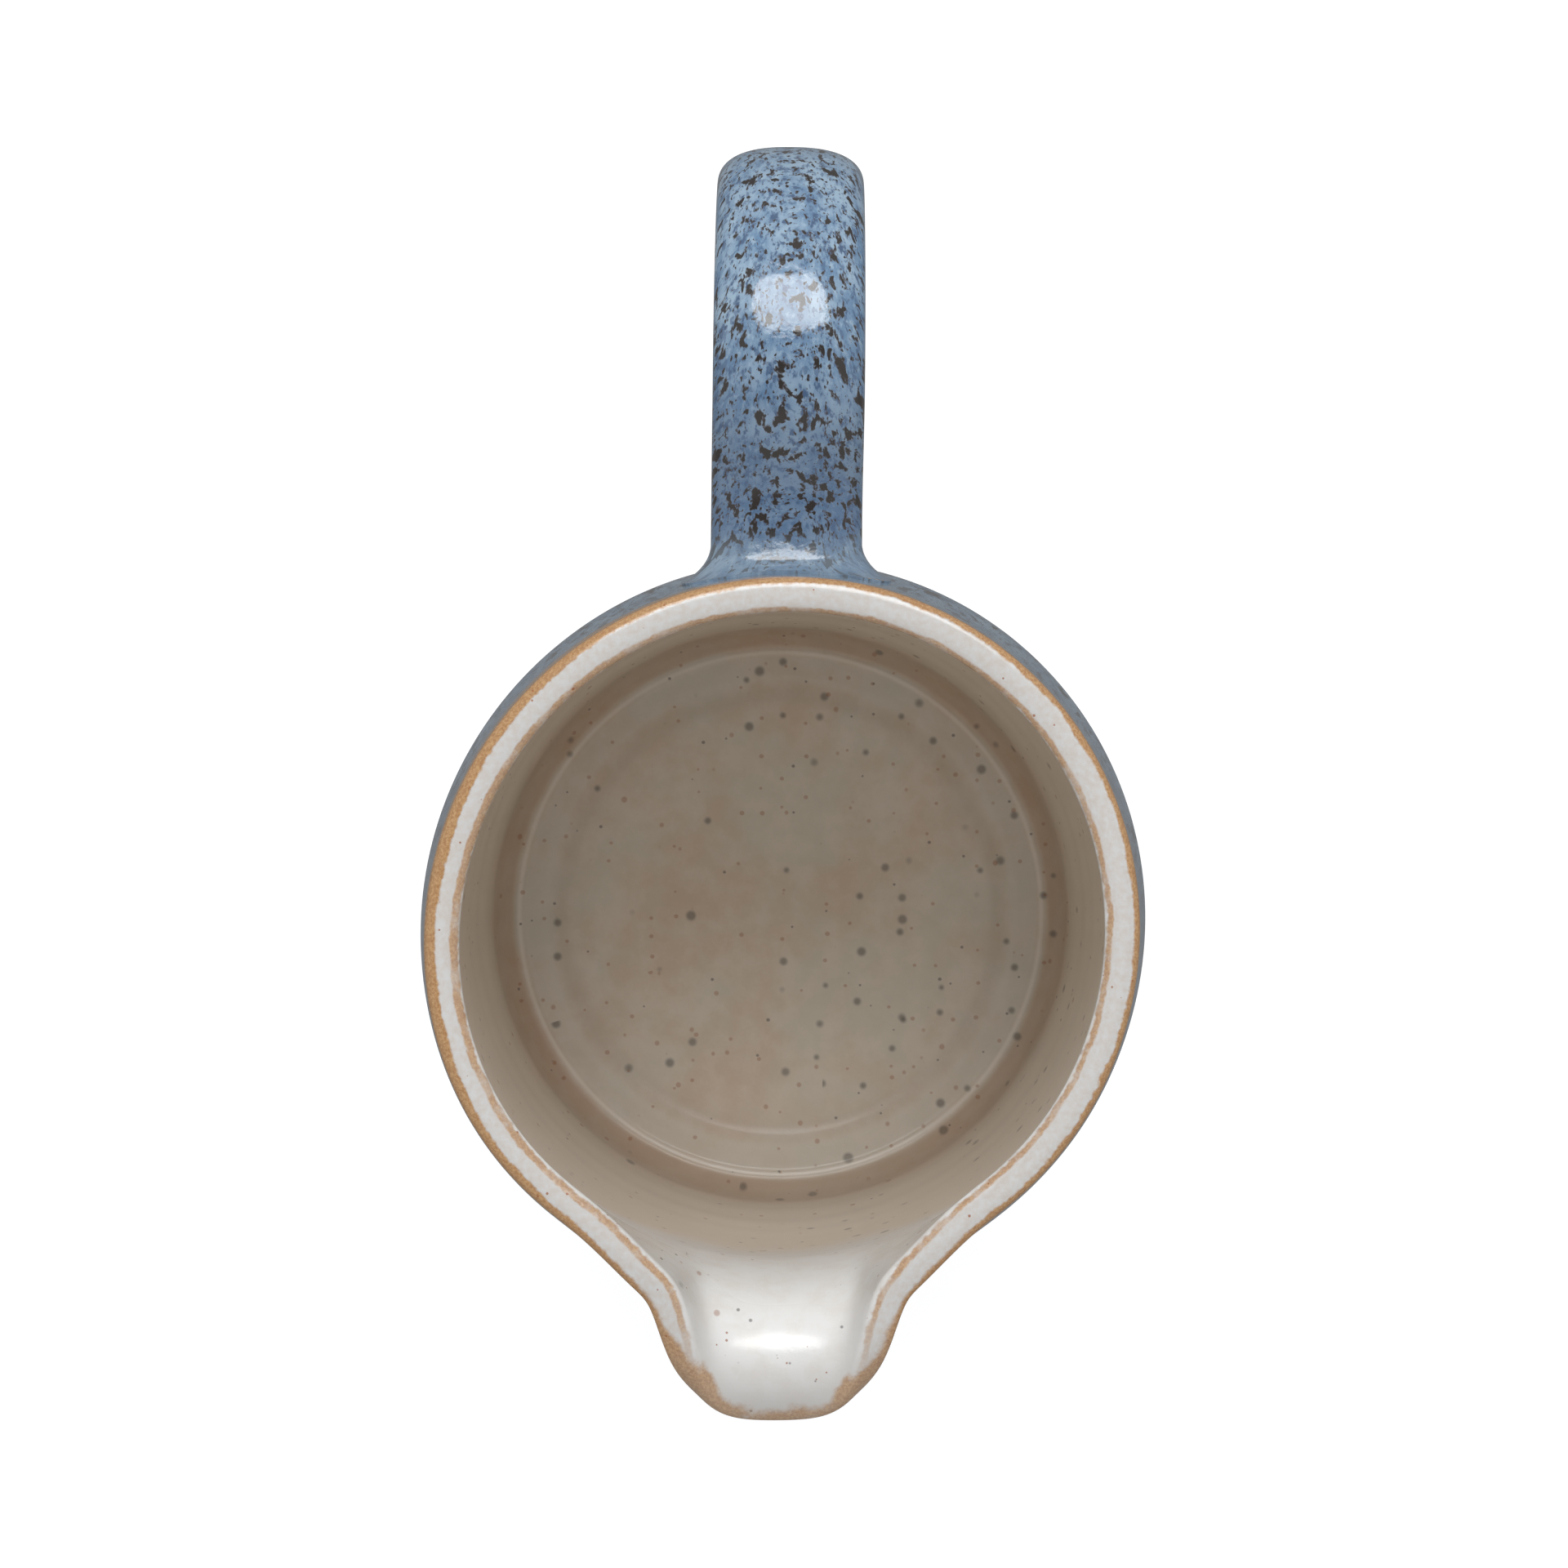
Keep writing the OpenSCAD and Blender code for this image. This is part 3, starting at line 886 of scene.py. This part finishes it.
def blue_colour(g, flow, near_body, thin_end):
    """The mottled blue glaze with its dark streaked specks; it is paler where it ran thin."""
    cloud = g.noise(flow, 7.0, 3.0, 0.6)
    mottle = g.noise(flow, 1.6, 4.0, 0.65)
    fine = g.noise(flow, 0.5, 2.0, 0.6)
    colour = g.mix(g.ramp(cloud, 0.35, 0.68), BLUE, PALE_BLUE)
    colour = g.mix(g.ramp(mottle, 0.52, 0.70), colour, PALE_BLUE)
    colour = g.mix(g.ramp(mottle, 0.48, 0.34), colour, DEEP_BLUE)
    colour = g.mix(g.ramp(fine, 0.58, 0.74, 0.0, 0.5), colour, PALE_BLUE)
    # On the handle, near_body's darkening is partly the glaze's tone and partly painted shade
    colour = g.mix(g.math("MULTIPLY", near_body, 0.65), colour, DEEP_BLUE)
    colour = g.mix(g.math("MULTIPLY", thin_end, 0.6), colour, PALE_BLUE)
    soft = g.noise(flow, 1.1, 1.0, 0.5, 0.2)
    colour = g.mix(g.ramp(soft, 0.58, 0.66, 0.0, 0.6), colour, DEEP_BLUE)
    big = g.noise(flow, 2.1, 3.0, 0.55, 0.3)
    big = g.math("ADD", big, g.math("MULTIPLY", near_body, 0.03))
    small = g.noise(flow, 0.9, 2.0, 0.5, 0.15)
    edge = g.math("MAXIMUM", g.ramp(big, 0.570, 0.610), g.ramp(small, 0.61, 0.65))
    core = g.math("MAXIMUM", g.ramp(big, 0.590, 0.630), g.ramp(small, 0.64, 0.68))
    colour = g.mix(g.math("MULTIPLY", edge, 0.8), colour, SPECK_EDGE)
    colour = g.mix(core, colour, INK)
    return colour, mottle


def handle_material():
    """Blue glaze that ran along the strap, darker near the body, partly its own tone and partly painted
    shade, and paler round the bend.
    """
    g = Graph("handle_blue_glaze")
    flow = g.value("flow", "Vector")
    run = g.value("run")
    # Partly painted shade: the strap darkens where it nears the body
    near_body = g.math("MULTIPLY", g.ramp(run, 46, 12), g.ramp(run, 3, 7))
    colour, mottle = blue_colour(g, flow, near_body, g.band(run, 72, 130, 20))
    colour = g.mix(g.ramp(run, 8, 3, 0.0, 0.5), colour, GREY_BLUE)
    ripple = g.noise(g.place, 2.6, 3.0, 0.55)
    normal = g.bump(ripple, 0.22, 0.7)
    normal = g.bump(mottle, 0.05, 0.4, normal)
    return g.finish(colour, 0.16, normal, coat=0.5)


def outer_material():
    """Blue glaze on the outside wall, with a toasted line where it broke at the rim."""
    g = Graph("outer_blue_glaze")
    flow = g.scaled(g.place, (1, 1, 0.45))
    coat = g.value("coat")
    near_foot = g.ramp(coat, -105, -128)
    colour, mottle = blue_colour(g, flow, near_foot, g.ramp(coat, -70, -20, 0.0, 0.4))
    near_rim = g.ramp(coat, -22, -2)
    colour = g.mix(g.math("MULTIPLY", near_rim, 0.55), colour, GREY_BLUE)
    wander = g.noise(g.place, 6.0, 3.0, 0.6)
    line = g.math("ADD", coat, g.value("outer_drip"))
    line = g.math("ADD", line, g.math("MULTIPLY", g.math("SUBTRACT", wander, 0.5), 3.0))
    brown = g.ramp(line, -0.5, 0.5)
    grain = g.noise(g.place, 0.5, 3.0, 0.7)
    toasted = g.mix(g.ramp(grain, 0.35, 0.7), TOASTED, SAND)
    colour = g.mix(brown, colour, toasted)
    normal = g.bump(g.noise(flow, 2.2, 2.0, 0.5), 0.10, 0.6)
    normal = g.bump(mottle, 0.05, 0.4, normal)
    return g.finish(colour, 0.16, normal, coat=0.5)


def wall_cream(g, patches, y, z):
    """Warm cream mottled with tan and moss clouds: pale up the wall, and brown at the front, partly the
    lining's tone and partly painted shade.
    """
    clouds = g.noise(g.place, 16.0, 4.0, 0.6)
    cream = g.mix(g.ramp(clouds, 0.38, 0.64), TAN, MOSS)
    cream = g.mix(g.ramp(patches, 0.35, 0.7, 0.15, 0.75), cream, CREAM)
    on_wall = g.ramp(z, 14, 30)
    on_floor = g.ramp(z, 12, 9)
    cream = g.mix(g.math("MULTIPLY", on_wall, 0.78), cream, WALL_CREAM)
    cream = g.mix(g.math("MULTIPLY", on_floor, 0.22), cream, FLOOR_BROWN)
    # Partly painted shade: the lining darkens and browns towards the front, under the spout
    return g.mix(g.ramp(y, -15, -48, 0.0, 0.4), cream, FRONT_BROWN_AND_SHADE)


def throat_white(g, patches, coat, spout):
    """The thick white glaze under the rim and down the spout's throat, greyed by painted shade at the
    lip.
    """
    white = g.mix(g.ramp(patches, 0.3, 0.6), SHELL, BRIGHT)
    # Painted shade: the white greys at the spout's lip
    lip_shade = g.math("MULTIPLY", g.ramp(coat, 19, 5.5, 0.0, 0.7), spout)
    return g.mix(lip_shade, white, LIP_PAINTED_SHADE)


def foot_rings(g, colour, x, y, z):
    """Rings of thin and thick glaze at the foot of the wall and on the floor, with painted shade at the
    floor's step and a painted highlight on the ridge's crest.
    """
    r = g.math("SQRT", g.math("ADD", g.math("POWER", x, 2.0), g.math("POWER", y, 2.0)))
    low = g.ramp(z, 52, 44)
    for inner, outer, soft, strength, tone in (
        (45.6, 48.6, 0.6, 0.45, RING_BROWN),
        (39.5, 44.2, 0.8, 0.4, RING_PALE),
        # Painted shade along the floor's step
        (36.0, 38.4, 0.9, 0.22, STEP_PAINTED_SHADE),
        # Painted highlight along the ridge's crest
        (RIDGE_R - 0.35, RIDGE_R + 0.35, 0.35, 0.6, CREST_PAINTED_HIGHLIGHT),
    ):
        ring = g.math("MULTIPLY", g.band(r, inner, outer, soft), low)
        colour = g.mix(g.math("MULTIPLY", ring, strength), colour, tone)
    return colour


def iron_specks(g, colour, x, z):
    """Dark and rusty specks, more of them towards +X, and drawn out down the wall."""
    drawn = g.scaled(g.place, (1, 1, 0.5))
    near_floor = g.ramp(z, 16, 11)
    wall_dark = g.dots(drawn, 5.2, 0.72, g.ramp(x, -35, 40, 0.18, 0.60), 0.5)
    floor_dark = g.dots(g.place, 6.4, 0.62, g.ramp(x, -35, 40, 0.08, 0.40), 0.6, net="2D")
    floor_rust = g.dots(g.scaled(g.place, (0.97, 1.05, 1.0)), 3.6, 0.34, 0.22, net="2D")
    wall_fine = g.dots(g.scaled(drawn, (0.98, 1.04, 1.0)), 1.9, 0.26, 0.12)
    wall_rust = g.dots(g.scaled(drawn, (1.03, 0.97, 1.0)), 3.1, 0.42, 0.30)
    for specks, strength, tone in (
        (wall_dark, 0.6, IRON),
        (g.math("MULTIPLY", floor_dark, near_floor), 0.62, FLOOR_IRON),
        (g.math("MULTIPLY", floor_rust, near_floor), 0.45, RUST),
        (wall_fine, 0.7, FINE_IRON),
        (wall_rust, 0.45, RUST),
    ):
        colour = g.mix(g.math("MULTIPLY", specks, strength), colour, tone)
    return colour


def rim_land(g, colour, line, spout, shake, patches, grain):
    """The white land of the rim, and the toasted lines where the glaze broke at its edges."""
    toasted = g.mix(g.ramp(grain, 0.35, 0.68), TOASTED, SAND)
    from_inner = g.math("SUBTRACT", line, g.value("inner_at"))
    land = g.band(from_inner, -7.5, 0.6, 0.4)
    colour = g.mix(land, colour, g.mix(g.ramp(shake, 0.3, 0.7), MILK, WHITE))

    loose = g.math("MULTIPLY", g.math("SUBTRACT", patches, 0.5), g.math("MULTIPLY", spout, 5.0))
    outer_gap = g.math("ADD", g.math("SUBTRACT", line, g.value("outer_line")), loose)
    soft = g.math("ADD", g.math("MULTIPLY", spout, 0.9), 0.22)
    outer_brown = g.ramp(outer_gap, soft, g.math("MULTIPLY", soft, -1.0))
    outer_brown = g.math("MULTIPLY", outer_brown, g.ramp(spout, 0.2, 1.0, 1.0, 0.8))
    colour = g.mix(outer_brown, colour, toasted)

    inner_gap = g.math("SUBTRACT", g.math("ABSOLUTE", from_inner), g.value("inner_line"))
    inner_brown = g.math("MULTIPLY", g.ramp(inner_gap, 0.22, -0.18), g.ramp(spout, 0.95, 0.2))
    inner_brown = g.math("MULTIPLY", inner_brown, g.ramp(patches, 0.36, 0.54, 0.6, 1.0))
    return g.mix(g.math("MULTIPLY", inner_brown, 0.85), colour, toasted)


def liner_material():
    """Cream lining glaze, from the rim's land down to the floor."""
    g = Graph("liner_cream_glaze")
    x, y, z = g.add("SeparateXYZ", {"Vector": g.place}).outputs[:]
    coat = g.value("coat")
    spout = g.value("spout")
    wander = g.math("SUBTRACT", g.noise(g.place, 6.0, 3.0, 0.6), 0.5)
    shake = g.noise(g.place, 1.1, 3.0, 0.6)
    patches = g.noise(g.place, 5.0, 4.0, 0.65)
    grain = g.noise(g.place, 0.45, 3.0, 0.7)

    below = g.math("SUBTRACT", coat, g.value("white_reach"))
    below = g.math("ADD", below, g.math("MULTIPLY", wander, 8.0))
    depth = g.ramp(below, 0, g.value("white_fade"))
    colour = g.mix(depth, throat_white(g, patches, coat, spout), wall_cream(g, patches, y, z))
    colour = foot_rings(g, colour, x, y, z)
    colour = iron_specks(g, colour, x, z)

    stray = g.math("ADD", g.math("MULTIPLY", wander, 1.1),
                   g.math("MULTIPLY", g.math("SUBTRACT", shake, 0.5), 0.7))
    line = g.math("ADD", coat, stray)
    colour = rim_land(g, colour, line, spout, shake, patches, grain)
    pin = g.dots(g.place, 1.5, 0.20, 0.18, 0.2)
    near_rim = g.math("MULTIPLY", g.ramp(coat, 30, 12), 0.8)
    colour = g.mix(g.math("MULTIPLY", pin, near_rim), colour, RUST)

    normal = g.bump(g.noise(g.place, 2.0, 2.0, 0.5), 0.08, 0.6)
    normal = g.bump(grain, 0.06, 0.35, normal)
    roughness = g.ramp(coat, 14, 40, 0.2, 0.42)
    return g.finish(colour, roughness, normal, coat=0.25, coat_roughness=0.15)


def clay_material():
    """Bare toasted stoneware, seen on the foot ring, the underside and the lower heel."""
    g = Graph("bare_stoneware")
    tone = g.noise(g.place, 9.0, 4.0, 0.6)
    grain = g.noise(g.place, 0.6, 4.0, 0.7)
    colour = g.mix(g.ramp(tone, 0.35, 0.68), TOASTED, SAND)
    colour = g.mix(g.ramp(grain, 0.55, 0.75, 0.0, 0.6), colour, CLAY_GRAIN)
    specks = g.dots(g.place, 1.8, 0.22, 0.2, 0.2)
    colour = g.mix(g.math("MULTIPLY", specks, 0.8), colour, CLAY_SPECK)
    normal = g.bump(grain, 0.12, 0.7)
    return g.finish(colour, 0.75, normal)


def floor_material():
    """The light table's white top, which gives off most of its own light."""
    g = Graph("pale_floor")
    tone = g.noise(g.place, 300.0, 2.0, 0.5)
    colour = g.mix(tone, (0.20, 0.20, 0.20), (0.22, 0.22, 0.22))
    normal = g.bump(g.noise(g.place, 4.0, 2.0, 0.5), 0.02, 0.2)
    g.shader.inputs["Emission Color"].default_value = (1, 1, 1, 1)
    g.shader.inputs["Emission Strength"].default_value = FLOOR_GLOW
    return g.finish(colour, 0.8, normal)


# ---- Studio ---------------------------------------------------------------------------------

# The floor is a light table, so that hardly any shadow falls on it
FLOOR_GLOW = 0.90
FLOOR_HALF = 3.0
CAMERA = (0.0004, 0.0221, 1.090)
LENS = 145.2
CAMERA_TURN = 0.55
# The softbox hangs beyond the handle and faces this point, given as its y and z, from above
SOFTBOX_AIM = (0.09, 0.14)
SOFTBOX_LEAN = 31
SOFTBOX_AWAY = 1.1
SOFTBOX_SIZE = (0.95, 0.62)
SOFTBOX_POWER = 9
OVERHEAD_SIZE = 0.5
OVERHEAD_POWER = 3.5
OVERHEAD_AT = (0, -0.02, 1.4)
WORLD_STRENGTH = 0.46


def add_to_scene(name, data):
    """A new object in the scene."""
    thing = bpy.data.objects.new(name, data)
    bpy.context.scene.collection.objects.link(thing)
    return thing


def light_table():
    floor = bpy.data.meshes.new("studio_floor")
    half = FLOOR_HALF
    floor.from_pydata(
        [(-half, -half, 0), (half, -half, 0), (half, half, 0), (-half, half, 0)], [], [(0, 1, 2, 3)]
    )
    stage = add_to_scene("studio_floor", floor)
    stage.data.materials.append(floor_material())
    stage.visible_glossy = False


def camera():
    lens = bpy.data.cameras.new("camera")
    lens.sensor_width = 36
    lens.lens = LENS
    lens.clip_start = 0.01
    view = add_to_scene("camera", lens)
    view.location = CAMERA
    view.rotation_euler = (0, 0, math.radians(CAMERA_TURN))
    bpy.context.scene.camera = view


def lights():
    box = bpy.data.lights.new("softbox", "AREA")
    box.shape = "ELLIPSE"
    box.size, box.size_y = SOFTBOX_SIZE
    box.energy = SOFTBOX_POWER
    lamp = add_to_scene("softbox", box)
    lean = math.radians(SOFTBOX_LEAN)
    aim_y, aim_z = SOFTBOX_AIM
    lamp.location = (
        0, aim_y + SOFTBOX_AWAY * math.sin(lean), aim_z + SOFTBOX_AWAY * math.cos(lean)
    )
    lamp.rotation_euler = (-lean, 0, 0)

    top = bpy.data.lights.new("overhead", "AREA")
    top.shape = "DISK"
    top.size = OVERHEAD_SIZE
    top.energy = OVERHEAD_POWER
    above = add_to_scene("overhead", top)
    above.location = OVERHEAD_AT
    above.visible_glossy = False


def fade_by_height(tree, height, low, high, at_low, at_high):
    """A smooth change of brightness between two heights of the direction looked in."""
    fade = tree.nodes.new("ShaderNodeMapRange")
    fade.interpolation_type = "SMOOTHSTEP"
    for name, value in (("From Min", low), ("From Max", high), ("To Min", at_low), ("To Max", at_high)):
        fade.inputs[name].default_value = value
    tree.links.new(height, fade.inputs["Value"])
    return fade.outputs["Result"]


def surroundings():
    """White all round, dark overhead where the camera hangs and dark below the table."""
    world = bpy.data.worlds.new("studio")
    world.use_nodes = True
    tree = world.node_tree
    direction = tree.nodes.new("ShaderNodeTexCoord")
    split = tree.nodes.new("ShaderNodeSeparateXYZ")
    tree.links.new(direction.outputs["Generated"], split.inputs["Vector"])
    both = tree.nodes.new("ShaderNodeMath")
    both.operation = "MULTIPLY"
    overhead = fade_by_height(tree, split.outputs["Z"], 0.80, 0.97, 1.0, 0.12)
    below = fade_by_height(tree, split.outputs["Z"], -0.35, 0.05, 0.42, 1.0)
    tree.links.new(overhead, both.inputs[0])
    tree.links.new(below, both.inputs[1])
    background = tree.nodes["Background"]
    tree.links.new(both.outputs["Value"], background.inputs["Color"])
    background.inputs["Strength"].default_value = WORLD_STRENGTH
    bpy.context.scene.world = world


def studio():
    light_table()
    camera()
    lights()
    surroundings()
    bpy.context.scene.view_settings.view_transform = "Standard"


# ---- Assembly -------------------------------------------------------------------------------

def place(piece, node, material):
    """Gives a piece its finish and lets it stand for the CAD node of its name."""
    piece.data.materials.append(material)
    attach(piece, "root")
    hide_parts(node)


def build():
    clay = clay_material()
    liner = liner_material()
    outer = outer_material()
    strap = handle_material()

    grid = body_grid()
    in_spout, is_liner, is_outer = body_masks(grid)
    place(wall_solid("body_clay", grid, False), "body", clay)
    place(wall_solid("spout_clay", grid, True), "spout", clay)
    place(foot_ring(), "foot_ring", clay)
    for name, node, mask, slot, material in (
        ("body_liner", "liner_glaze", is_liner & ~in_spout, "cream_glaze", liner),
        ("spout_liner", "spout_liner_glaze", is_liner & in_spout, "cream_glaze", liner),
        ("body_outer", "outer_glaze", is_outer & ~in_spout, "blue_glaze", outer),
        ("spout_outer", "spout_outer_glaze", is_outer & in_spout, "blue_glaze", outer),
    ):
        place(skin(name, grid, mask, GLAZE_T), node, material)

    strap_grid = handle_grid()
    last = len(strap_grid["points"]) - 1
    place(handle_skin(strap_grid), "handle_glaze", strap)
    for name, node, first, end in (
        ("upper_joint_clay", "upper_handle_joint", 0, FILLET_STEPS),
        ("handle_clay", "handle", FILLET_STEPS, last - FILLET_STEPS),
        ("lower_joint_clay", "lower_handle_joint", last - FILLET_STEPS, last),
    ):
        place(strap_solid(name, strap_grid, first, end), node, clay)


build()
studio()
